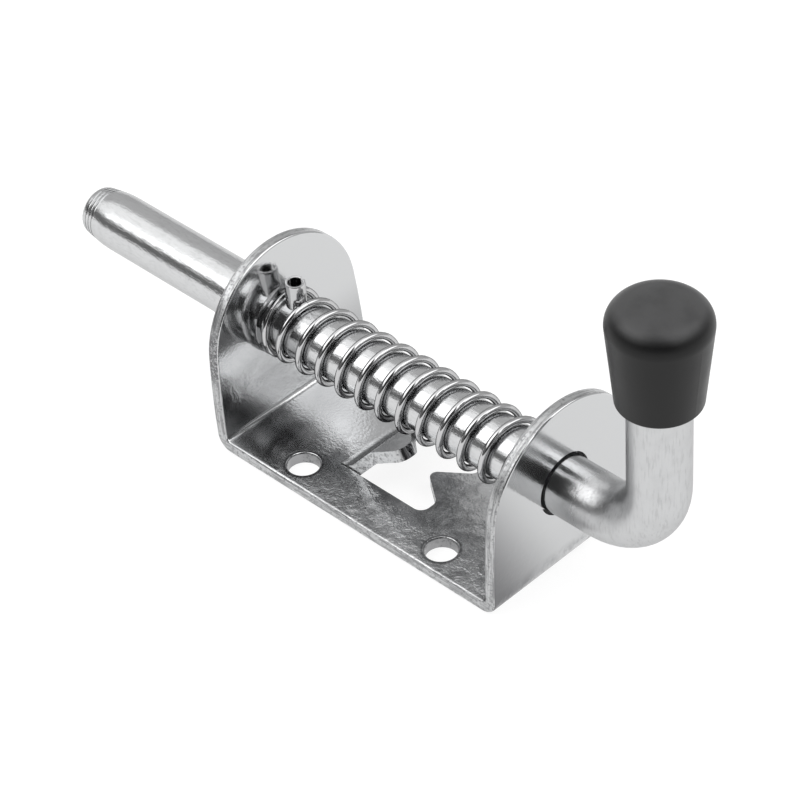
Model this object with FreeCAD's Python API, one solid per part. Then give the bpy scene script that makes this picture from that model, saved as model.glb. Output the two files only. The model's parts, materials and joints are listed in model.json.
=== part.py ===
import FreeCAD, Part
import math
import os

# Spring loaded gate latch. Millimetres and degrees.
# The origin is the centre of the base's underside, which is the mounting plane. +X runs along the bolt from its
# nose to its handle, +Y to the rear side and +Z up from the gate.

# The folded sheet. Its tip-side ear leans out a little, as sheet does that springs back after folding.
sheet_thickness = 2.5
base_length = 74.5
bracket_width = 39.5
fold_inner_radius = 1.0
tip_ear_lean = 4.0
ear_round_radius = 19.0
ear_round_height = 19.7
sheet_edge_rounding = 0.5
hole_edge_rounding = 0.35

# The four screw holes in the base
screw_hole_diameter = 6.5
screw_spacing_x = 37.0
screw_edge_distance = 5.35

# The tongue: cut out of the base along three sides, folded up in two ramps, with a forked free end
tongue_fold_x = -13.15
tongue_width = 18.6
tongue_length = 21.6
tongue_cut_gap = 0.25
tongue_fold_radius = 4.5
first_ramp_angle = 50.0
first_ramp_length = 6.8
crease_radius = 2.5
second_ramp_angle = 32.0
notch_half_width = 5.7
notch_depth = 7.4
notch_round = 1.4
prong_round = 2.1

# The bolt: one round rod with a turned nose and a handle arm bent up at the other end
rod_diameter = 12.0
bolt_height = 20.5
ear_hole_clearance = 0.6
nose_reach = 54.0
nose_taper_length = 6.0
nose_end_diameter = 10.0
nose_edge_rounding = 1.2
nose_shoulder_rounding = 25.0
nose_groove_count = 3
nose_groove_start = 1.6
nose_groove_pitch = 1.0
nose_groove_width = 0.45
nose_groove_depth = 0.12
handle_reach = 23.0
handle_bend_radius = 13.5
handle_end_chamfer = 1.0

# The slotted roll pin, pressed through the rod
pin_diameter = 4.2
pin_wall = 0.75
pin_slit_width = 0.7
pin_slit_direction = 78.0
pin_end_chamfer = 0.5
pin_reach = 11.2
pin_foot_inset = 0.6

# The spring: a left-hand coil
wire_diameter = 1.4
coil_rod_clearance = 0.25
coil_side_clearance = 0.1
coil_pitch = 5.38
coil_end_turn = 0.55
coil_closed_turn = 0.7
coil_points_per_turn = 12

# The rubber cap on the handle arm
cap_mouth_height = 53.5
cap_height = 22.0
cap_top_wall = 2.0
cap_mouth_diameter = 16.1
cap_shoulder_diameter = 19.6
cap_shoulder_round = 4.5
cap_crown_radius = 30.0
cap_mouth_rounding = 0.6
cap_rod_clearance = 0.05

# Places and sizes that follow from the values above
half_length = base_length / 2
half_width = bracket_width / 2
screw_spacing_y = bracket_width - 2 * screw_edge_distance
fold_outer_radius = fold_inner_radius + sheet_thickness
ear_top = ear_round_height + ear_round_radius
rod_radius = rod_diameter / 2
ear_hole_radius = rod_radius + ear_hole_clearance
nose_tip_x = -half_length - nose_reach
handle_x = half_length + handle_reach
cap_top = cap_mouth_height + cap_height
handle_top = cap_top - cap_top_wall
pin_radius = pin_diameter / 2
wire_radius = wire_diameter / 2
coil_radius = rod_radius + coil_rod_clearance + wire_radius
lean = math.radians(tip_ear_lean)


def vector(x, y, z):
    return FreeCAD.Vector(x, y, z)


def point_at(centre, radius, angle):
    """A point in the XZ plane at an angle from +X towards +Z."""
    turned = math.radians(angle)
    return centre + vector(radius * math.cos(turned), 0, radius * math.sin(turned))


def arc_about(centre, radius, start_angle, end_angle):
    middle_angle = (start_angle + end_angle) / 2
    return Part.Arc(*[point_at(centre, radius, angle) for angle in (start_angle, middle_angle, end_angle)]).toShape()


def line_between(start, end):
    return Part.LineSegment(start, end).toShape()


def rounded_corner(before, corner, after, radius):
    """The arc that rounds a corner between straight lines from its two neighbours."""
    back = (before - corner).normalize()
    ahead = (after - corner).normalize()
    half_angle = back.getAngle(ahead) / 2
    reach = radius / math.tan(half_angle)
    middle = corner + (back + ahead).normalize() * (radius / math.sin(half_angle) - radius)
    return Part.Arc(corner + back * reach, middle, corner + ahead * reach).toShape()


def closed_face(edges):
    """A flat face bounded by edges in order. Straight lines join the neighbours that don't meet."""
    loop = []
    for edge, following in zip(edges, edges[1:] + edges[:1]):
        loop.append(edge)
        end = edge.valueAt(edge.LastParameter)
        start = following.valueAt(following.FirstParameter)
        if end.distanceToPoint(start) > 1e-6:
            loop.append(line_between(end, start))
    return Part.Face(Part.Wire(loop))


def cylinder_along_x(radius, start_x, end_x):
    """A cylinder about the bolt's axis."""
    return Part.makeCylinder(radius, end_x - start_x, vector(start_x, 0, bolt_height), vector(1, 0, 0))


def rims(solid):
    """The full circles among a solid's edges."""
    return [edge for edge in solid.Edges
            if not edge.Degenerated and edge.Curve.TypeId == "Part::GeomCircle" and edge.Closed]


def rims_of_radius(solid, radius):
    return [rim for rim in rims(solid) if abs(rim.Curve.Radius - radius) < 1e-6]


def tip_ear_inner_x(height):
    """Where the leaning ear's inner face stands at a height above the mounting plane."""
    foot_x = -half_length + fold_outer_radius - fold_inner_radius * math.cos(lean)
    foot_height = fold_outer_radius - fold_inner_radius * math.sin(lean)
    return foot_x - (height - foot_height) * math.tan(lean)


# The spring's end lies against the leaning ear and passes over the rod between the ear and the pin. After one
# turn it passes over the rod again on the other side of the pin.
coil_first_pass_x = tip_ear_inner_x(bolt_height + coil_radius + wire_radius) + wire_radius + coil_side_clearance
pin_x = coil_first_pass_x + wire_radius + coil_side_clearance + pin_radius
coil_second_pass_x = pin_x + pin_radius + coil_side_clearance + wire_radius
coil_end_x = half_length - sheet_thickness - wire_radius - coil_side_clearance


# The ears' sides bow in from the base's width to the round top, which they meet without a corner
bow_height = ear_round_height - fold_outer_radius
bow_radius = (bow_height ** 2 + half_width ** 2 - ear_round_radius ** 2) / (2 * (half_width - ear_round_radius))
bow_top = ear_round_height + ear_round_radius * bow_height / (bow_radius - ear_round_radius)


def bowed_half_width(height):
    """Half the ears' width between the folds and the round top."""
    return half_width - bow_radius + math.sqrt(bow_radius ** 2 - (height - fold_outer_radius) ** 2)


def half_width_at(height):
    if height < fold_outer_radius:
        return half_width
    if height < bow_top:
        return bowed_half_width(height)
    return math.sqrt(max(ear_round_radius ** 2 - (height - ear_round_height) ** 2, 0))


def folded_strip():
    """The sheet's side profile over its full width: the base with both folds and an ear at each end."""
    tip_fold = vector(-half_length + fold_outer_radius, -half_width, fold_outer_radius)
    handle_fold = vector(half_length - fold_outer_radius, -half_width, fold_outer_radius)
    leaning = 180 + tip_ear_lean
    rise = vector(-math.sin(lean), 0, math.cos(lean)) * (ear_top + sheet_thickness)
    upright = vector(0, 0, ear_top + sheet_thickness)
    edges = [
        arc_about(tip_fold, fold_outer_radius, leaning, 270),
        arc_about(handle_fold, fold_outer_radius, -90, 0),
        line_between(point_at(handle_fold, fold_outer_radius, 0) + upright,
                     point_at(handle_fold, fold_inner_radius, 0) + upright),
        arc_about(handle_fold, fold_inner_radius, 0, -90),
        arc_about(tip_fold, fold_inner_radius, 270, leaning),
        line_between(point_at(tip_fold, fold_inner_radius, leaning) + rise,
                     point_at(tip_fold, fold_outer_radius, leaning) + rise),
    ]
    return closed_face(edges).extrude(vector(0, bracket_width, 0))


def end_outline():
    """The outline seen along the bolt as a prism over the whole length: slightly bowed sides and a round top."""
    start_x = -base_length
    below = vector(start_x, -half_width, -sheet_thickness)
    foot = vector(start_x, -half_width, fold_outer_radius)
    middle = vector(start_x, -bowed_half_width((fold_outer_radius + bow_top) / 2), (fold_outer_radius + bow_top) / 2)
    shoulder = vector(start_x, -bowed_half_width(bow_top), bow_top)
    crown = vector(start_x, 0, ear_top)
    near_side = [below, foot, middle, shoulder]
    far_below, far_foot, far_middle, far_shoulder = [vector(point.x, -point.y, point.z) for point in near_side]
    edges = [
        line_between(far_below, below),
        line_between(below, foot),
        Part.Arc(foot, middle, shoulder).toShape(),
        Part.Arc(shoulder, crown, far_shoulder).toShape(),
        Part.Arc(far_shoulder, far_middle, far_foot).toShape(),
        line_between(far_foot, far_below),
    ]
    return closed_face(edges).extrude(vector(2 * base_length, 0, 0))


def lies_on_outline(edge):
    """Whether an edge runs along the sheet's cut outline, and doesn't only cross its thickness."""
    for point in edge.discretize(5):
        if abs(abs(point.y) - half_width_at(point.z)) > 1e-3:
            return False
    return abs(edge.Length - sheet_thickness) > 1e-3


def tongue_outline(gap):
    """The tongue's outline before it is folded, from its fold line to its forked end, with a gap round it."""
    side = tongue_width / 2 + gap
    end_x = tongue_fold_x + tongue_length + gap
    mouth = notch_half_width - gap
    root = vector(tongue_fold_x, -side, 0)
    outer = vector(end_x, -side, 0)
    inner = vector(end_x, -mouth, 0)
    apex = vector(tongue_fold_x + tongue_length - notch_depth + gap, 0, 0)
    far_inner = vector(end_x, mouth, 0)
    far_outer = vector(end_x, side, 0)
    far_root = vector(tongue_fold_x, side, 0)
    edges = [
        line_between(far_root, root),
        rounded_corner(root, outer, inner, prong_round),
        rounded_corner(outer, inner, apex, prong_round),
        rounded_corner(inner, apex, far_inner, notch_round),
        rounded_corner(apex, far_inner, far_outer, prong_round),
        rounded_corner(far_inner, far_outer, far_root, prong_round),
    ]
    return closed_face(edges)


def tongue():
    """The tongue folded up: a wide fold, a steep ramp, a crease and a shallower ramp that ends in the fork."""
    side_y = -tongue_width / 2
    half_sheet = sheet_thickness / 2
    steep = 270 + first_ramp_angle
    crease_turn = first_ramp_angle - second_ramp_angle
    crease_start = steep - 180
    crease_end = crease_start - crease_turn
    fold_centre = vector(tongue_fold_x, side_y, sheet_thickness + tongue_fold_radius)
    fold_under_radius = tongue_fold_radius + sheet_thickness
    steep_run = point_at(vector(0, 0, 0), first_ramp_length, first_ramp_angle)
    crease_centre = point_at(point_at(fold_centre, fold_under_radius, steep) + steep_run, crease_radius, steep)
    crease_over_radius = crease_radius + sheet_thickness
    root_x = tongue_fold_x - sheet_thickness
    edges = [
        line_between(vector(root_x, side_y, sheet_thickness), vector(root_x, side_y, 0)),
        arc_about(fold_centre, fold_under_radius, 270, steep),
        arc_about(crease_centre, crease_radius, crease_start, crease_end),
        arc_about(crease_centre, crease_over_radius, crease_end, crease_start),
        arc_about(fold_centre, tongue_fold_radius, steep, 270),
    ]
    folded_part = closed_face(edges).extrude(vector(0, tongue_width, 0))

    # The fork keeps the outline that the sheet had when it was flat, measured along the middle of its thickness
    length_in_fold = (tongue_fold_radius + half_sheet) * math.radians(first_ramp_angle)
    length_in_crease = (crease_radius + half_sheet) * math.radians(crease_turn)
    fork_start_x = tongue_fold_x + length_in_fold + first_ramp_length + length_in_crease
    fork = tongue_outline(0).extrude(vector(0, 0, sheet_thickness))
    flat_stretch = Part.makeBox(tongue_length, tongue_width, sheet_thickness, vector(fork_start_x, side_y, 0))
    fork = fork.common(flat_stretch)
    fork.translate(vector(-fork_start_x, 0, 0))
    fork.rotate(vector(0, 0, 0), vector(0, 1, 0), -second_ramp_angle)
    fork_foot = point_at(crease_centre, crease_radius, crease_end)
    fork.translate(vector(fork_foot.x, 0, fork_foot.z))
    return folded_part.fuse(fork)


def bracket():
    sheet = folded_strip().common(end_outline())
    sheet = sheet.makeFillet(sheet_edge_rounding, [edge for edge in sheet.Edges if lies_on_outline(edge)])
    cuts = [
        cylinder_along_x(ear_hole_radius, -base_length, base_length),
        tongue_outline(tongue_cut_gap).extrude(vector(0, 0, sheet_thickness)),
    ]
    for x in (-screw_spacing_x / 2, screw_spacing_x / 2):
        for y in (-screw_spacing_y / 2, screw_spacing_y / 2):
            cuts.append(Part.makeCylinder(screw_hole_diameter / 2, sheet_thickness, vector(x, y, 0)))
    sheet = sheet.cut(cuts)
    upper_rims = [rim for rim in rims_of_radius(sheet, screw_hole_diameter / 2)
                  if abs(rim.Curve.Center.z - sheet_thickness) < 1e-6]
    sheet = sheet.makeFillet(hole_edge_rounding, upper_rims)
    return sheet.fuse(tongue()).removeSplitter()


def bolt_rod():
    """One bent rod: the turned nose, the straight bolt, the bend and the handle arm."""
    taper_end_x = nose_tip_x + nose_taper_length
    bend_start_x = handle_x - handle_bend_radius
    bend_top = bolt_height + handle_bend_radius
    tip_point = vector(nose_tip_x, 0, bolt_height)
    along = vector(1, 0, 0)
    nose = Part.makeCone(nose_end_diameter / 2, rod_radius, nose_taper_length, tip_point, along)
    nose = nose.makeFillet(nose_edge_rounding, rims_of_radius(nose, nose_end_diameter / 2))
    straight = cylinder_along_x(rod_radius, taper_end_x, bend_start_x)
    bend_start = Part.Face(Part.Wire(Part.makeCircle(rod_radius, vector(bend_start_x, 0, bolt_height), along)))
    bend = bend_start.revolve(vector(bend_start_x, 0, bend_top), vector(0, -1, 0), 90)
    arm = Part.makeCylinder(rod_radius, handle_top - bend_top, vector(handle_x, 0, bend_top))
    top_rim = max(rims(arm), key=lambda rim: rim.Curve.Center.z)
    arm = arm.makeChamfer(handle_end_chamfer, [top_rim])
    rod = straight.fuse([nose, bend, arm]).removeSplitter()
    nose_shoulder = [rim for rim in rims_of_radius(rod, rod_radius) if abs(rim.Curve.Center.x - taper_end_x) < 1e-6]
    rod = rod.makeFillet(nose_shoulder_rounding, nose_shoulder)
    pin_hole = Part.makeCylinder(pin_radius, rod_diameter, vector(pin_x, 0, bolt_height - rod_radius))
    return rod.cut([pin_hole] + nose_grooves())


def nose_grooves():
    """The fine turned grooves round the tapered nose."""
    slope = (rod_radius - nose_end_diameter / 2) / nose_taper_length
    grooves = []
    for index in range(nose_groove_count):
        x = nose_tip_x + nose_groove_start + index * nose_groove_pitch
        surface_radius = nose_end_diameter / 2 + slope * (x - nose_tip_x)
        whole = cylinder_along_x(rod_radius, x, x + nose_groove_width)
        grooves.append(whole.cut(cylinder_along_x(surface_radius - nose_groove_depth, x, x + nose_groove_width)))
    return grooves


def roll_pin():
    """A rolled tube with a slit along it and chamfered ends."""
    foot = vector(pin_x, 0, bolt_height - rod_radius + pin_foot_inset)
    length = bolt_height + pin_reach - foot.z
    pin = Part.makeCylinder(pin_radius, length, foot)
    pin = pin.makeChamfer(pin_end_chamfer, rims_of_radius(pin, pin_radius))
    bore = Part.makeCylinder(pin_radius - pin_wall, length, foot)
    slit = Part.makeBox(pin_diameter, pin_slit_width, length, vector(0, -pin_slit_width / 2, 0))
    slit.rotate(vector(0, 0, 0), vector(0, 0, 1), pin_slit_direction)
    slit.translate(foot)
    return pin.cut([bore, slit])


def coil_place(turns):
    """The wire's middle, counted in turns from its first pass over the rod. The turns wind left-handed."""
    angle = math.radians(90 - 360 * turns)
    y = coil_radius * math.cos(angle)
    z = bolt_height + coil_radius * math.sin(angle)
    if turns < 0:
        rise = coil_radius * (1 - math.sin(angle))
        x = coil_first_pass_x + rise * math.tan(lean)
    elif turns < 1:
        x = coil_first_pass_x + turns * (coil_second_pass_x - coil_first_pass_x)
    else:
        x = min(coil_second_pass_x + (turns - 1) * coil_pitch, coil_end_x)
    return vector(x, y, z)


def compression_spring():
    """One wire: an end turn on the leaning ear, a turn round the pin, the open turns and a closed end turn."""
    last_open_turn = 1 + (coil_end_x - coil_second_pass_x) / coil_pitch
    first = -coil_end_turn
    last = last_open_turn + coil_closed_turn
    count = round((last - first) * coil_points_per_turn)
    points = [coil_place(first + (last - first) * index / count) for index in range(count + 1)]
    middle_line = Part.BSplineCurve()
    middle_line.interpolate(points)
    section = Part.Wire(Part.makeCircle(wire_radius, points[0], middle_line.tangent(0)[0]))
    return Part.Wire(middle_line.toShape()).makePipeShell([section], True, True)


def grip_cap():
    """A rubber cap that widens towards its rounded shoulder, with a blind bore for the handle arm."""
    mouth = vector(handle_x, 0, cap_mouth_height)
    mouth_radius = cap_mouth_diameter / 2
    shoulder_radius = cap_shoulder_diameter / 2
    widening = (shoulder_radius - mouth_radius) / (cap_height - cap_shoulder_round)
    body = Part.makeCone(mouth_radius, mouth_radius + widening * cap_height, cap_height, mouth)
    crown = Part.makeSphere(cap_crown_radius, vector(handle_x, 0, cap_top - cap_crown_radius))
    body = body.common(crown)
    top_rim = max(rims(body), key=lambda rim: rim.Curve.Radius)
    body = body.makeFillet(cap_shoulder_round, [top_rim])
    body = body.makeFillet(cap_mouth_rounding, rims_of_radius(body, mouth_radius))
    bore = Part.makeCylinder(rod_radius + cap_rod_clearance, handle_top - cap_mouth_height, mouth)
    return body.cut(bore)


os.makedirs("parts", exist_ok=True)
pieces = {
    "bracket": bracket(),
    "bolt_rod": bolt_rod(),
    "compression_spring": compression_spring(),
    "roll_pin": roll_pin(),
    "grip_cap": grip_cap(),
}
for name, shape in pieces.items():
    shape.exportStep("parts/" + name + ".step")
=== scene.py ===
import bpy
import json
import math
from mathutils import Matrix, Vector


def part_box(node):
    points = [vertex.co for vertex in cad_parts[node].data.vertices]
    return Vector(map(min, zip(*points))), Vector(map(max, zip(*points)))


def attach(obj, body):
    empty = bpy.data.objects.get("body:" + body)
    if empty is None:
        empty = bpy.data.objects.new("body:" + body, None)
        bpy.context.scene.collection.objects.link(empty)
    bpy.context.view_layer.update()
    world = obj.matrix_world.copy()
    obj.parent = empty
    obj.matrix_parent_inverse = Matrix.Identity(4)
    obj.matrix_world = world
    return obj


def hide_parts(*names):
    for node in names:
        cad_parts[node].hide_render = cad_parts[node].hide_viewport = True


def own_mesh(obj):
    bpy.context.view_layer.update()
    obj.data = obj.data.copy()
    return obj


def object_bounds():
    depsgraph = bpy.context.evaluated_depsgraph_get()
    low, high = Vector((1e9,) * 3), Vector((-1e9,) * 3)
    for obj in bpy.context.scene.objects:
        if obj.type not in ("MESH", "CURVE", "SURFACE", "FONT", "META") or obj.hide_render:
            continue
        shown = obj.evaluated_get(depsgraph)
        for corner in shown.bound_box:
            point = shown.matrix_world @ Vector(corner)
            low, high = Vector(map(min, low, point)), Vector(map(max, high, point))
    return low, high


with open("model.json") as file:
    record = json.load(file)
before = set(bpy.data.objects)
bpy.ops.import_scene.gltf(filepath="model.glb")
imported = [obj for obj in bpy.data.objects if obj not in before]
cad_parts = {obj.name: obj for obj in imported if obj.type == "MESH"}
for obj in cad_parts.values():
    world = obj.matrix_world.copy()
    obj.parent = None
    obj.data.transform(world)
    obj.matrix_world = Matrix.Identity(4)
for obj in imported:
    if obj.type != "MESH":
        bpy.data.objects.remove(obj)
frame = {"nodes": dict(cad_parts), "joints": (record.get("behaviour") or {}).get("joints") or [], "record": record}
cadLow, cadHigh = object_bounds()
print("latch frame loaded:", sorted(frame["nodes"]))

mm = 0.001


class Shade:  # one output of a material's nodes, so that sums on it read as plain Python
    def __init__(self, tree, output=None):
        self.tree = tree
        self.output = output

    def node(self, kind, settings, sockets, result=0):
        made = self.tree.nodes.new(kind)
        for name, value in settings.items():
            setattr(made, name, value)
        for name, value in sockets.items():
            if isinstance(value, Shade):
                self.tree.links.new(value.output, made.inputs[name])
            else:
                made.inputs[name].default_value = value
        return Shade(self.tree, made.outputs[result])

    def math(self, operation, *values):
        return self.node("ShaderNodeMath", {"operation": operation}, dict(enumerate(values)))

    def __add__(self, other):
        return self.math("ADD", self, other)

    def __radd__(self, other):
        return self.math("ADD", other, self)

    def __sub__(self, other):
        return self.math("SUBTRACT", self, other)

    def __rsub__(self, other):
        return self.math("SUBTRACT", other, self)

    def __mul__(self, other):
        return self.math("MULTIPLY", self, other)

    def __rmul__(self, other):
        return self.math("MULTIPLY", other, self)

    def __abs__(self):
        return self.math("ABSOLUTE", self)

    def root(self):
        return self.math("SQRT", self)

    def orMore(self, other):  # the larger of the two
        return self.math("MAXIMUM", self, other)

    def place(self):  # the point on the piece, in millimetres
        coordinates = self.node("ShaderNodeTexCoord", {}, {}, "Object")
        return self.node("ShaderNodeVectorMath", {"operation": "SCALE"}, {0: coordinates, "Scale": 1 / mm})

    def facing(self):  # the way that the surface faces
        return self.node("ShaderNodeTexCoord", {}, {}, "Normal")

    def axes(self):  # this point's x, y and z
        split = self.node("ShaderNodeSeparateXYZ", {}, {"Vector": self})
        return [Shade(self.tree, split.output.node.outputs[name]) for name in ("X", "Y", "Z")]

    def stretched(self, axisScales):  # this point with its axes scaled, for a pattern that runs along one
        return self.node("ShaderNodeVectorMath", {"operation": "MULTIPLY"}, {0: self, 1: axisScales})

    def noise(self, scale, detail=3.0, roughness=0.5):
        return self.node("ShaderNodeTexNoise", {}, {"Vector": self, "Scale": scale, "Detail": detail,
                                                    "Roughness": roughness})

    def rise(self, low, high):  # 0 below low, 1 above high and a smooth rise between
        return self.node("ShaderNodeMapRange", {"interpolation_type": "SMOOTHSTEP"},
                         {"Value": self, "From Min": low, "From Max": high})

    def fall(self, low, high):  # 1 below low, 0 above high and a smooth fall between
        return 1 - self.rise(low, high)

    def between(self, first, second):  # a colour that goes from the first to the second as this value rises
        return self.node("ShaderNodeMix", {"data_type": "RGBA"}, {"Factor": self, "A": first, "B": second},
                         "Result")

    def towards(self, target, amount):  # this value, drawn to the target by the amount
        return self + amount * (target - self)

    def bump(self, distance, strength=1.0):
        return self.node("ShaderNodeBump", {}, {"Height": self, "Strength": strength, "Distance": distance})


def newMaterial(name, uniform):
    material = bpy.data.materials.new(name)
    material.use_nodes = True
    shader = material.node_tree.nodes["Principled BSDF"]
    for socket, value in uniform.items():
        shader.inputs[socket].default_value = value
    return material, shader, Shade(material.node_tree)


def drive(shader, sockets):  # what varies over the surface
    for name, shade in sockets.items():
        shade.tree.links.new(shade.output, shader.inputs[name])


def deselectAll():
    for other in bpy.context.selected_objects:
        other.select_set(False)


def editSelection(mode, action):  # into edit mode, with all or nothing of the piece selected
    bpy.ops.object.mode_set(mode="EDIT")
    bpy.ops.mesh.select_mode(type=mode)
    bpy.ops.mesh.select_all(action=action)


def finishPiece(piece, name, body, node, material):
    piece.name = name
    piece.data.materials.clear()
    piece.data.materials.append(material)
    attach(piece, body)
    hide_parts(node)
    print("made", name, len(piece.data.polygons), "faces")


# Sizes read from the frame
coilLow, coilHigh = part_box("compression_spring")
pinLow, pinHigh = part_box("roll_pin")
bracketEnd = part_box("bracket")[1].x / mm  # the handle-side ear's outer face
boltHeight = (coilLow.z + coilHigh.z) / 2
pinX = (pinLow.x + pinHigh.x) / 2
slide = next(joint for joint in frame["joints"] if joint["name"] == "bolt_slide")
pullLength = slide["range_m"][1]

# Floor, light and camera. Each zone of the sky is a span of directions over which its light sets in.
studio = {
    "floorColour": (0.20, 0.20, 0.20, 1.0),
    "floorRoughness": 0.8,
    "floorGlow": (0.86, 0.86, 0.86, 1.0),
    "floorGlowStrength": 1.0,
    "floorSize": 4.0,
    "floorDrop": 0.2,
    "skyColour": (1.0, 1.0, 1.0, 1.0),
    "backLevel": 0.62,
    "topLevel": 1.34,
    "topLean": (0.6, 0.8),
    "topEdge": (0.44, 0.50),
    "rightTopLevel": 2.3,
    "rightTopSide": (0.1, 0.4),
    "rightTopHeight": (0.46, 0.56),
    "frontLevel": 0.19,
    "frontHeight": (0.36, 0.46),
    "frontSide": (-0.25, 0.05),
    "cameraSideLevel": 0.05,
    "cameraSideX": (0.0, 0.25),
    "cameraSideY": (-0.34, -0.20),
    "lampPower": 1.9,
    "lampSize": 0.7,
    "lampPlace": (-0.35, -0.55, 0.75),
}
bpy.context.scene.view_settings.view_transform = "Standard"  # keeps the floor white, as a studio picture has it

deselectAll()
bpy.ops.mesh.primitive_plane_add(size=studio["floorSize"], location=(0, 0, cadLow.z - studio["floorDrop"] * mm))
floor = bpy.context.object
floor.name = "floor"
floorMaterial = newMaterial("pale floor", {
    "Base Color": studio["floorColour"], "Roughness": studio["floorRoughness"],
    "Emission Color": studio["floorGlow"], "Emission Strength": studio["floorGlowStrength"]})[0]
floor.data.materials.append(floorMaterial)

world = bpy.data.worlds.new("studio")
bpy.context.scene.world = world
world.use_nodes = True
sky = Shade(world.node_tree)
skyX, skyY, skyZ = sky.node("ShaderNodeTexCoord", {}, {}, "Generated").axes()
leanY, leanZ = studio["topLean"]
overhead = (skyZ * leanZ - skyY * leanY).rise(*studio["topEdge"])  # the softbox above and in front
rightTop = skyX.rise(*studio["rightTopSide"]) * skyZ.rise(*studio["rightTopHeight"])  # its brighter end
frontLow = skyZ.fall(*studio["frontHeight"]) * skyY.fall(*studio["frontSide"])
cameraSide = skyX.rise(*studio["cameraSideX"]) * skyY.fall(*studio["cameraSideY"])
level = overhead * (studio["topLevel"] - studio["backLevel"]) + studio["backLevel"]
level = level.towards(studio["rightTopLevel"], rightTop)
level = level.towards(studio["frontLevel"], frontLow)
level = level.towards(studio["cameraSideLevel"], cameraSide)
background = world.node_tree.nodes["Background"]
background.inputs["Color"].default_value = studio["skyColour"]
world.node_tree.links.new(level.output, background.inputs["Strength"])

lampData = bpy.data.lights.new("softbox", "AREA")
lampData.energy = studio["lampPower"]
lampData.size = studio["lampSize"]
lamp = bpy.data.objects.new("softbox", lampData)
bpy.context.scene.collection.objects.link(lamp)
lamp.location = studio["lampPlace"]
lamp.rotation_euler = (-lamp.location).to_track_quat("-Z", "Y").to_euler()  # aimed at the latch

view = {
    "azimuth": 46.482,
    "elevation": 40.274,
    "roll": -3.594,
    "distance": 0.661652,
    "target": (-0.005387, 0.0, 0.016858),
    "lens": 155.19,
    "sensorWidth": 36.0,
    "clipStart": 0.01,
}
cameraData = bpy.data.cameras.new("camera")
cameraData.lens = view["lens"]
cameraData.sensor_width = view["sensorWidth"]
cameraData.clip_start = view["clipStart"]
camera = bpy.data.objects.new("camera", cameraData)
bpy.context.scene.collection.objects.link(camera)
azimuth = math.radians(view["azimuth"])
elevation = math.radians(view["elevation"])
roll = math.radians(view["roll"])
towardCamera = Vector((math.sin(azimuth) * math.cos(elevation), -math.cos(azimuth) * math.cos(elevation),
                       math.sin(elevation)))
turned = towardCamera.to_track_quat("Z", "Y").to_matrix() @ Matrix.Rotation(roll, 3, "Z")
stand = Vector(view["target"]) + towardCamera * view["distance"]
camera.matrix_world = Matrix.Translation(stand) @ turned.to_4x4()
bpy.context.scene.camera = camera
print("studio set")

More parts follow.
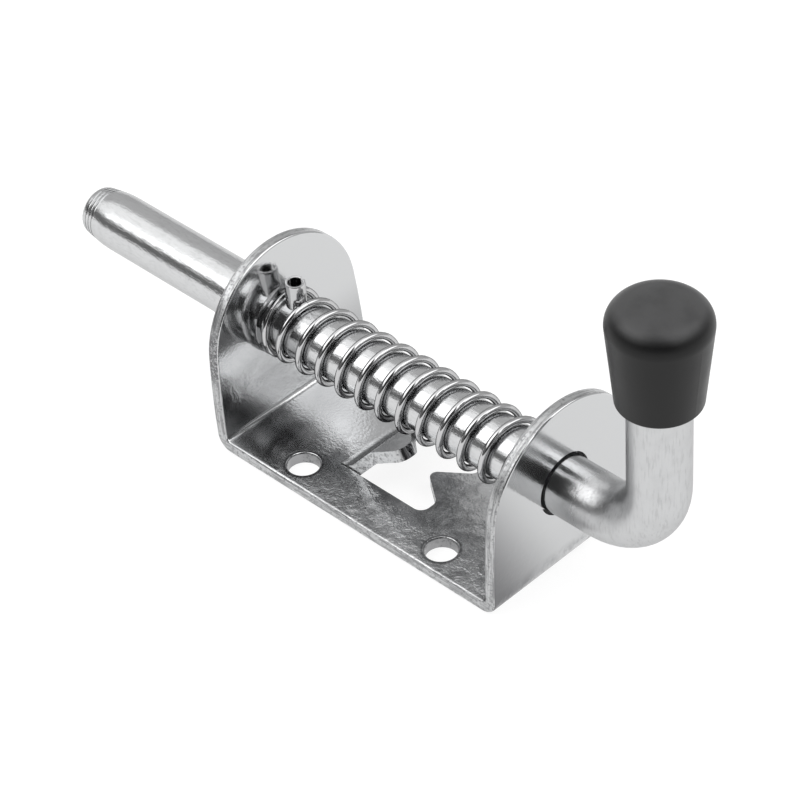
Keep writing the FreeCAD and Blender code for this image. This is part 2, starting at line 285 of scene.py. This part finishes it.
# Bracket: bright zinc plate on sheet steel, with a fine peel on its faces, rolled lips round its screw holes, and
# rough bands along its sheared edges. Places are in millimetres. A pair of places, facings or noise levels is a
# span over which something sets in or fades out. Each noise has its scale, its detail and its roughness.
sheet = {
    "colour": (0.57, 0.575, 0.58, 1.0),
    "edgeColour": (0.52, 0.525, 0.53, 1.0),
    # near-black, for flaws and for the painted dark reflection round the screw holes
    "pitAndShadeColour": (0.13, 0.13, 0.135, 1.0),
    # for dull patches and for painted shade
    "dullAndShadeColour": (0.17, 0.17, 0.175, 1.0),
    "roughness": 0.07,
    "baseRoughness": 0.14,
    "edgeRoughness": 0.28,
    "cloudRoughness": 0.05,
    "calmRoughness": 0.06,
    "baseTop": (3.0, 6.0),  # heights at which the base ends and the ears begin
    "earStart": (3.0, 5.0),
    "sideFacing": (0.55, 0.75),  # the sheared edges, told by the way they face
    "rimStart": (4.2, 5.0),
    "rimFacing": (0.35, 0.48),
    "cloudNoise": (0.10, 4.0, 0.5),
    "cloudLevel": (0.38, 0.66),
    "cloudTint": 0.12,
    "peelNoise": (1.7, 3.0, 0.6),
    "peelHeight": 0.012,
    "grainHeight": 0.055,  # what the peel gains in its rougher patches
    "grainNoise": (0.17, 3.0, 0.5),
    "grainLevel": (0.45, 0.62),
    "grainTop": (14.0, 18.0),
    "baseGrainNoise": (0.10, 2.0, 0.5),
    "baseGrainLevel": (0.35, 0.5),
    "calmX": (-27.0, -18.0),  # the smooth corner in front at the tip-side ear
    "calmY": (-8.0, 2.0),
    "calmZ": (7.0, 11.0),
    "speckleNoise": (1.9, 3.0, 0.7),
    "speckleLevel": (0.51, 0.64),
    "speckleTint": 0.7,
    "lipSpan": (-0.3, 0.7),
    "lipDrop": 0.22,
    # the painted dark reflection round each screw hole: where it starts and ends beyond the rim, and its strength
    "ringStart": (0.20, 0.40),
    "ringEnd": (0.55, 0.95),
    "ringShadeTint": 0.7,
    "holeWall": (0.0, 0.12),
    "holeWallTint": 0.6,
    "tipLean": 0.07,  # how far the tip-side ear leans out for each millimetre of height
    "tipSide": (-1.0, 1.0),
    "bandNoise": (3.0, 2.0, 0.5),
    "bandStretch": 0.03,
    "bandStart": (0.50, 0.55),
    "bandEnd": (0.60, 0.64),
    "bandTint": 0.65,
    "earPlace": (28.0, 31.0),
    "frontPlace": (15.0, 17.0),
    "footFace": (-1.0, -0.2),  # painted shade: the handle-side ear's outer face, darker towards its bottom, as a shadowed floor's reflection
    "footSlope": 0.5,
    "footFade": (-18.0, 4.0),
    "mottleNoise": (0.3, 5.0, 0.65),
    "mottleLevel": (0.44, 0.62),
    "mottleStart": (-16.0, -2.0),
    "mottleTint": 0.42,
    "tipFace": (-33.0, -31.0),  # painted shade: the tip-side ear's inner face, darker towards its bottom
    "tipFacing": (0.5, 0.9),
    "tipFootFade": (9.0, 21.0),
    "tipFootShadeTint": 0.34,
    "tongueStart": (2.52, 2.9),
    "tongueEnd": (20.0, 24.0),
    "tongueFade": (3.5, 9.0),
    "tongueShadeTints": (0.85, 0.55),  # painted shade on the tongue, at its root and at its end
    "wornNoise": (1.9, 4.0, 0.7),  # the worn patch on the tip-side ear's rim
    "wornLevel": (0.40, 0.52),
    "wornStart": (13.0, 18.0),
    "wornEnd": (25.0, 30.0),
    "wornX": (-30.0, -28.0),
    "wornY": (-14.0, -8.0),
    "wornTint": 0.9,
    "markDepth": 0.05,
    "satinStart": (-16.0, -4.0),  # over this stretch the base grows rougher
    "dentNoise": (0.5, 4.0, 0.6),
    "dentStart": (-20.0, 0.0),  # and over this one its dents grow deeper
    "dentDepth": 0.30,
}
screwHoles = next(mount["dims"] for mount in frame["record"]["mounts"] if mount["name"] == "base_holes")


def sheetMaterial():
    material, shader, shade = newMaterial("bright zinc sheet", {"Metallic": 1.0})
    place = shade.place()
    placeX, placeY, placeZ = place.axes()
    faceX, faceY = shade.facing().axes()[:2]
    outX, outY = abs(placeX), abs(placeY)

    # Zones of the sheet
    baseFace = placeZ.fall(*sheet["baseTop"])
    ears = placeZ.rise(*sheet["earStart"])
    tipEar = placeX.fall(*sheet["tipFace"]) * faceX.rise(*sheet["tipFacing"]) * ears
    sideEdge = abs(faceY).rise(*sheet["sideFacing"])
    earRim = placeZ.rise(*sheet["rimStart"]) * abs(faceX).fall(*sheet["rimFacing"])
    edge = sideEdge.orMore(earRim)
    calm = placeX.fall(*sheet["calmX"]) * placeY.fall(*sheet["calmY"]) * placeZ.fall(*sheet["calmZ"])
    holeX = outX - screwHoles["spacing_x_mm"] / 2
    holeY = outY - screwHoles["spacing_y_mm"] / 2
    fromRim = (holeX * holeX + holeY * holeY).root() - screwHoles["hole_r_mm"]

    # Peel of the plating: the ears' tops are smooth, and so is the base's corner in front
    cloud = place.noise(*sheet["cloudNoise"]).rise(*sheet["cloudLevel"])
    peel = place.noise(*sheet["peelNoise"])
    grain = place.noise(*sheet["grainNoise"]).rise(*sheet["grainLevel"]) * placeZ.fall(*sheet["grainTop"])
    baseGrain = baseFace * place.noise(*sheet["baseGrainNoise"]).rise(*sheet["baseGrainLevel"])
    grain = grain.orMore(baseGrain) * (1 - calm)
    dents = place.noise(*sheet["dentNoise"]) * baseFace * placeX.rise(*sheet["dentStart"])

    # Bands along the sheared edges, which follow the leaning ear
    stretch = sheet["bandStretch"]
    across = placeX + placeZ * sheet["tipLean"] * placeX.fall(*sheet["tipSide"])
    baseBands = place.stretched((stretch, 0.0, 1.0)).noise(*sheet["bandNoise"])
    alongEar = shade.node("ShaderNodeCombineXYZ", {}, {"X": across, "Y": placeY * stretch, "Z": placeZ * stretch})
    earZone = ears * outX.rise(*sheet["earPlace"])
    bands = baseBands.towards(alongEar.noise(*sheet["bandNoise"]), earZone)
    outline = earZone.orMore(outY.rise(*sheet["frontPlace"]))
    band = bands.rise(*sheet["bandStart"]) * bands.fall(*sheet["bandEnd"]) * outline

    # Speckles and bands on the edges and the worn patch, and a painted dark reflection in a narrow band round each
    # screw hole
    speckle = place.noise(*sheet["speckleNoise"]).rise(*sheet["speckleLevel"])
    marksAndShadeRing = edge * (speckle * sheet["speckleTint"]).orMore(band * sheet["bandTint"])
    # painted dark reflection: a darker band just outside each screw hole's bright lip, on the base's faces
    shadeRing = fromRim.rise(*sheet["ringStart"]) * fromRim.fall(*sheet["ringEnd"]) * baseFace * (1 - edge)
    marksAndShadeRing = marksAndShadeRing.orMore(shadeRing * sheet["ringShadeTint"])
    worn = placeZ.rise(*sheet["wornStart"]) * placeZ.fall(*sheet["wornEnd"])
    worn = worn * placeX.fall(*sheet["wornX"]) * placeY.fall(*sheet["wornY"]) * edge
    worn = worn * place.noise(*sheet["wornNoise"]).rise(*sheet["wornLevel"])
    marksAndShadeRing = marksAndShadeRing.orMore(worn * sheet["wornTint"])

    # Painted shade: the bottom of each ear, as the reflection of a shadowed floor, and the tongue, darkest at its
    # root
    # Dull stretches: the base's mottled end and the walls of the screw holes
    # painted shade: the handle-side ear's outer face darkens towards its bottom and front, as a shadowed floor's
    # reflection
    footFrom, footTo = sheet["footFace"]
    footShade = placeX.rise(bracketEnd + footFrom, bracketEnd + footTo)
    footShade = footShade * (placeZ * sheet["footSlope"] + placeY).fall(*sheet["footFade"])
    mottle = place.noise(*sheet["mottleNoise"]).rise(*sheet["mottleLevel"]) * placeX.rise(*sheet["mottleStart"])
    # painted shade: the tip-side ear's inner face darkens towards its bottom
    tipFootShade = tipEar * placeZ.fall(*sheet["tipFootFade"])
    tongue = placeZ.rise(*sheet["tongueStart"]) * outX.fall(*sheet["tongueEnd"])
    # painted shade on the tongue, darkest at its root
    rootTint, endTint = sheet["tongueShadeTints"]
    tongueShadeTint = rootTint - placeZ.rise(*sheet["tongueFade"]) * (rootTint - endTint)
    holeWall = fromRim.fall(*sheet["holeWall"]) * baseFace

    # painted shade and random dull patches share one darker colour
    colour = footShade.between(sheet["colour"], sheet["dullAndShadeColour"])
    patches = baseFace * (cloud * sheet["cloudTint"] + mottle * sheet["mottleTint"])
    for dull in (patches, tipFootShade * sheet["tipFootShadeTint"], tongue * tongueShadeTint):
        colour = dull.between(colour, sheet["dullAndShadeColour"])
    colour = edge.between(colour, sheet["edgeColour"])
    colour = (holeWall * sheet["holeWallTint"]).between(colour, sheet["dullAndShadeColour"])
    # flaws and the painted dark reflection round the screw holes
    colour = marksAndShadeRing.between(colour, sheet["pitAndShadeColour"])
    roughness = cloud * sheet["cloudRoughness"] + sheet["roughness"] + calm * sheet["calmRoughness"]
    satin = baseFace * placeX.rise(*sheet["satinStart"])
    roughness = roughness + satin * (sheet["baseRoughness"] - sheet["roughness"])
    roughness = roughness + edge * (sheet["edgeRoughness"] - sheet["roughness"])
    lip = fromRim.fall(*sheet["lipSpan"])
    height = peel * (grain * sheet["grainHeight"] + sheet["peelHeight"]) - lip * lip * sheet["lipDrop"]
    height = height - marksAndShadeRing * sheet["markDepth"] + dents * sheet["dentDepth"]
    drive(shader, {"Base Color": colour, "Roughness": roughness, "Normal": height.bump(mm)})
    return material


bracket = frame["nodes"]["bracket"]
bracket.data.materials[0] = sheetMaterial()
print("bracket dressed")

# Bolt: one bent rod. Its straight stretch is bright, and the bend and the handle arm are satin.
rod = {
    "colour": (0.60, 0.605, 0.61, 1.0),
    "streakColour": (0.36, 0.36, 0.365, 1.0),
    "edgeTint": (0.75, 0.75, 0.75, 1.0),
    "roughness": 0.11,
    "armRoughness": 0.27,
    "grainRoughness": 0.08,
    "armStart": (1.0, 10.0),
    "grainNoise": (2.2, 4.0, 0.6),
    "boltStretch": (0.30, 1.0, 1.0),
    "armStretch": (1.0, 1.0, 0.12),
    "grainHeight": 0.045,
    "streakLevel": (0.50, 0.68),
    "streakTint": 0.20,
    "armStreakTint": 0.10,
    "blotchNoise": (0.35, 4.0, 0.5),
    "blotchLevel": (0.40, 0.70),
    "blotchTint": 0.12,
    "armTint": 0.14,
}


def rodMaterial():
    material, shader, shade = newMaterial("bright zinc rod", {"Metallic": 1.0, "Specular Tint": rod["edgeTint"]})
    place = shade.place()
    armFrom, armTo = rod["armStart"]
    arm = place.axes()[0].rise(bracketEnd + armFrom, bracketEnd + armTo)
    alongBolt = place.stretched(rod["boltStretch"]).noise(*rod["grainNoise"])
    alongArm = place.stretched(rod["armStretch"]).noise(*rod["grainNoise"])
    grain = alongBolt.towards(alongArm, arm)
    blotch = place.noise(*rod["blotchNoise"]).rise(*rod["blotchLevel"])
    streak = grain.rise(*rod["streakLevel"]) * (arm * rod["armStreakTint"] + rod["streakTint"])
    darker = blotch * rod["blotchTint"] + streak + arm * rod["armTint"]
    colour = darker.between(rod["colour"], rod["streakColour"])
    roughness = grain * rod["grainRoughness"] + rod["roughness"]
    roughness = roughness + arm * (rod["armRoughness"] - rod["roughness"])
    drive(shader, {"Base Color": colour, "Roughness": roughness, "Normal": grain.bump(rod["grainHeight"] * mm)})
    return material


boltRod = frame["nodes"]["bolt_rod"]
boltRod.data.materials[0] = rodMaterial()
print("bolt dressed")

# Spring: a left-hand coil. Its end turn goes with the pin, and the open coils are a separate piece.
coil = {
    "wire": 1.4,
    "pitch": 5.38,
    "endTurn": 0.55,
    "closedTurn": 0.7,
    "sideClearance": 0.1,
    "earLean": 4.0,
    "groundBack": 0.35,
    "pointsPerTurn": 48,
    "roundness": 5,
    "smoothAngle": 50,
    "colour": (0.53, 0.53, 0.535, 1.0),
    "edgeTint": (0.15, 0.15, 0.15, 1.0),
    "drawnNoise": (1.5, 3.0),
    "drawnHeight": 0.1,
    "drawnStrength": 0.1,
    "drawnRoughness": 0.06,
    "roughness": 0.07,
}
wireRadius = coil["wire"] / 2 * mm
coilRadius = (coilHigh.z - coilLow.z) / 2 - wireRadius
sideClearance = coil["sideClearance"] * mm
firstPass = pinLow.x - sideClearance - wireRadius
secondPass = pinHigh.x + sideClearance + wireRadius
coilEnd = coilHigh.x - wireRadius


def coilPoint(turns):  # turns are counted from the wire's first pass over the rod, beside the pin
    angle = math.radians(90 - 360 * turns)
    if turns < 0:
        x = firstPass + coilRadius * (1 - math.sin(angle)) * math.tan(math.radians(coil["earLean"]))
    elif turns < 1:
        x = firstPass + turns * (secondPass - firstPass)
    else:
        x = min(secondPass + (turns - 1) * coil["pitch"] * mm, coilEnd)
    return Vector((x, coilRadius * math.cos(angle), boltHeight + coilRadius * math.sin(angle)))


def wirePiece(name, firstTurn, lastTurn):
    curve = bpy.data.curves.new(name, "CURVE")
    curve.dimensions = "3D"
    curve.bevel_depth = wireRadius
    curve.bevel_resolution = coil["roundness"]
    curve.use_fill_caps = True
    count = round((lastTurn - firstTurn) * coil["pointsPerTurn"])
    spline = curve.splines.new("POLY")
    spline.points.add(count)
    for index, point in enumerate(spline.points):
        point.co = (*coilPoint(firstTurn + (lastTurn - firstTurn) * index / count), 1)
    piece = bpy.data.objects.new(name, curve)
    bpy.context.scene.collection.objects.link(piece)
    deselectAll()
    piece.select_set(True)
    bpy.context.view_layer.objects.active = piece
    bpy.ops.object.convert(target="MESH")
    piece = bpy.context.object
    bpy.ops.object.shade_smooth_by_angle(angle=math.radians(coil["smoothAngle"]))
    return piece


def wireMaterial():
    material, shader, shade = newMaterial("spring wire", {
        "Metallic": 1.0, "Base Color": coil["colour"], "Specular Tint": coil["edgeTint"]})
    drawn = shade.place().noise(*coil["drawnNoise"])
    drive(shader, {"Roughness": drawn * coil["drawnRoughness"] + coil["roughness"],
                   "Normal": drawn.bump(coil["drawnHeight"] * mm, coil["drawnStrength"])})
    return material


springMaterial = wireMaterial()
lastOpenTurn = 1 + (coilEnd - secondPass) / (coil["pitch"] * mm)
springEnd = wirePiece("spring_end_turn", -coil["endTurn"], 1)
editSelection("VERT", "SELECT")  # the end turn is ground flat, so that it turns clear of the leaning ear
bpy.ops.mesh.bisect(plane_co=(firstPass + coil["groundBack"] * mm, 0, 0), plane_no=(1, 0, 0), use_fill=True,
                    clear_inner=True)
bpy.ops.object.mode_set(mode="OBJECT")
finishPiece(springEnd, "spring_end_turn", "bolt", "compression_spring", springMaterial)
springCoils = wirePiece("spring_coils", 1, lastOpenTurn + coil["closedTurn"])
finishPiece(springCoils, "spring_coils", "spring", "compression_spring", springMaterial)
openLength = coilHigh.x - secondPass
(openLength - pullLength) / openLength
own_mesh(springCoils)

# Roll pin: a slotted tube with a long taper at each end, its slot turned to the rear
pin = {
    "sides": 54,
    "wall": 0.55,
    "slotSides": 3,
    "slotDirection": 78.0,
    "taperIn": 0.13,
    "taperLength": 0.80,
    "lip": 0.14,
    "lipSteps": 2,
    "lipAngle": 50,
    "smoothAngle": 30,
    "colour": (0.52, 0.52, 0.525, 1.0),
    "edgeTint": (0.6, 0.6, 0.6, 1.0),
    "drawnNoise": (1.2, 3.0),
    "drawnRoughness": 0.08,
    "roughness": 0.10,
}
pinRadius = (pinHigh.x - pinLow.x) / 2
sameLevel = 1e-6


def pinMaterial():
    material, shader, shade = newMaterial("pin steel", {
        "Metallic": 1.0, "Base Color": pin["colour"], "Specular Tint": pin["edgeTint"]})
    drawn = shade.place().noise(*pin["drawnNoise"])
    drive(shader, {"Roughness": drawn * pin["drawnRoughness"] + pin["roughness"]})
    return material


def taperEnd(piece, level, direction):  # draws one open end of the tube out and in
    editSelection("EDGE", "DESELECT")
    bpy.ops.object.mode_set(mode="OBJECT")
    for edge in piece.data.edges:
        edge.select = all(abs(piece.data.vertices[index].co.z - level) < sameLevel for index in edge.vertices)
    bpy.ops.object.mode_set(mode="EDIT")
    bpy.ops.mesh.extrude_edges_move(
        TRANSFORM_OT_translate={"value": (0, 0, direction * pin["taperLength"] * mm)})
    narrow = 1 - pin["taperIn"] * mm / pinRadius
    bpy.ops.transform.resize(value=(narrow, narrow, 1), center_override=(pinX, 0, level))
    bpy.ops.object.mode_set(mode="OBJECT")


def makePin():
    length = pinHigh.z - pinLow.z - 2 * pin["taperLength"] * mm
    middle = (pinHigh.z + pinLow.z) / 2
    deselectAll()
    bpy.ops.mesh.primitive_cylinder_add(vertices=pin["sides"], radius=pinRadius, depth=length,
                                        end_fill_type="NOTHING", location=(pinX, 0, middle))
    piece = bpy.context.object
    bpy.ops.object.transform_apply(location=True, rotation=False, scale=False)
    editSelection("FACE", "DESELECT")
    bpy.ops.object.mode_set(mode="OBJECT")
    slotHalf = math.radians(180 * pin["slotSides"] / pin["sides"])
    slotAim = math.radians(pin["slotDirection"])
    for face in piece.data.polygons:
        turn = math.atan2(face.center.y, face.center.x - pinX) - slotAim
        face.select = abs(math.remainder(turn, 2 * math.pi)) < slotHalf
    bpy.ops.object.mode_set(mode="EDIT")
    bpy.ops.mesh.delete(type="FACE")
    bpy.ops.object.mode_set(mode="OBJECT")
    taperEnd(piece, middle + length / 2, 1)
    taperEnd(piece, middle - length / 2, -1)
    wall = piece.modifiers.new("wall", "SOLIDIFY")
    wall.thickness = pin["wall"] * mm
    wall.offset = -1
    wall.use_even_offset = True
    bpy.ops.object.modifier_apply(modifier="wall")
    lips = piece.modifiers.new("lips", "BEVEL")
    lips.width = pin["lip"] * mm
    lips.segments = pin["lipSteps"]
    lips.limit_method = "ANGLE"
    lips.angle_limit = math.radians(pin["lipAngle"])
    bpy.ops.object.modifier_apply(modifier="lips")
    bpy.ops.object.shade_smooth_by_angle(angle=math.radians(pin["smoothAngle"]))
    return piece


finishPiece(makePin(), "slotted_pin", "bolt", "roll_pin", pinMaterial())

# Grip cap: satin black rubber, with a painted highlight: its top is painted a little greyer, as if lit from above
cap = {
    "colour": (0.004, 0.004, 0.0042, 1.0),
    # the colour of the painted highlight on the top
    "litCrownColour": (0.062, 0.062, 0.063, 1.0),
    "crownFacing": (0.45, 0.92),
    "crownNoise": (0.16, 3.0),
    "crownTints": (0.4, 1.5),
    "specular": 0.28,
    "roughness": 0.31,
    "handledNoise": (0.3, 3.0),
    "handledRoughness": 0.14,
    "grainNoise": (6.0, 3.0),
    "grainHeight": 0.05,
    "grainStrength": 0.05,
}


def capMaterial():
    material, shader, shade = newMaterial("black rubber", {"Specular IOR Level": cap["specular"]})
    place = shade.place()
    lowTint, highTint = cap["crownTints"]
    # painted highlight: the upward-facing top is painted lighter, in uneven patches
    litCrown = shade.facing().axes()[2].rise(*cap["crownFacing"])
    litCrown = litCrown * (place.noise(*cap["crownNoise"]) * (highTint - lowTint) + lowTint)
    handled = place.noise(*cap["handledNoise"])
    grain = place.noise(*cap["grainNoise"])
    drive(shader, {"Base Color": litCrown.between(cap["colour"], cap["litCrownColour"]),
                   "Roughness": handled * cap["handledRoughness"] + cap["roughness"],
                   "Normal": grain.bump(cap["grainHeight"] * mm, cap["grainStrength"])})
    return material


gripCap = frame["nodes"]["grip_cap"]
gripCap.data.materials[0] = capMaterial()
print("cap dressed")
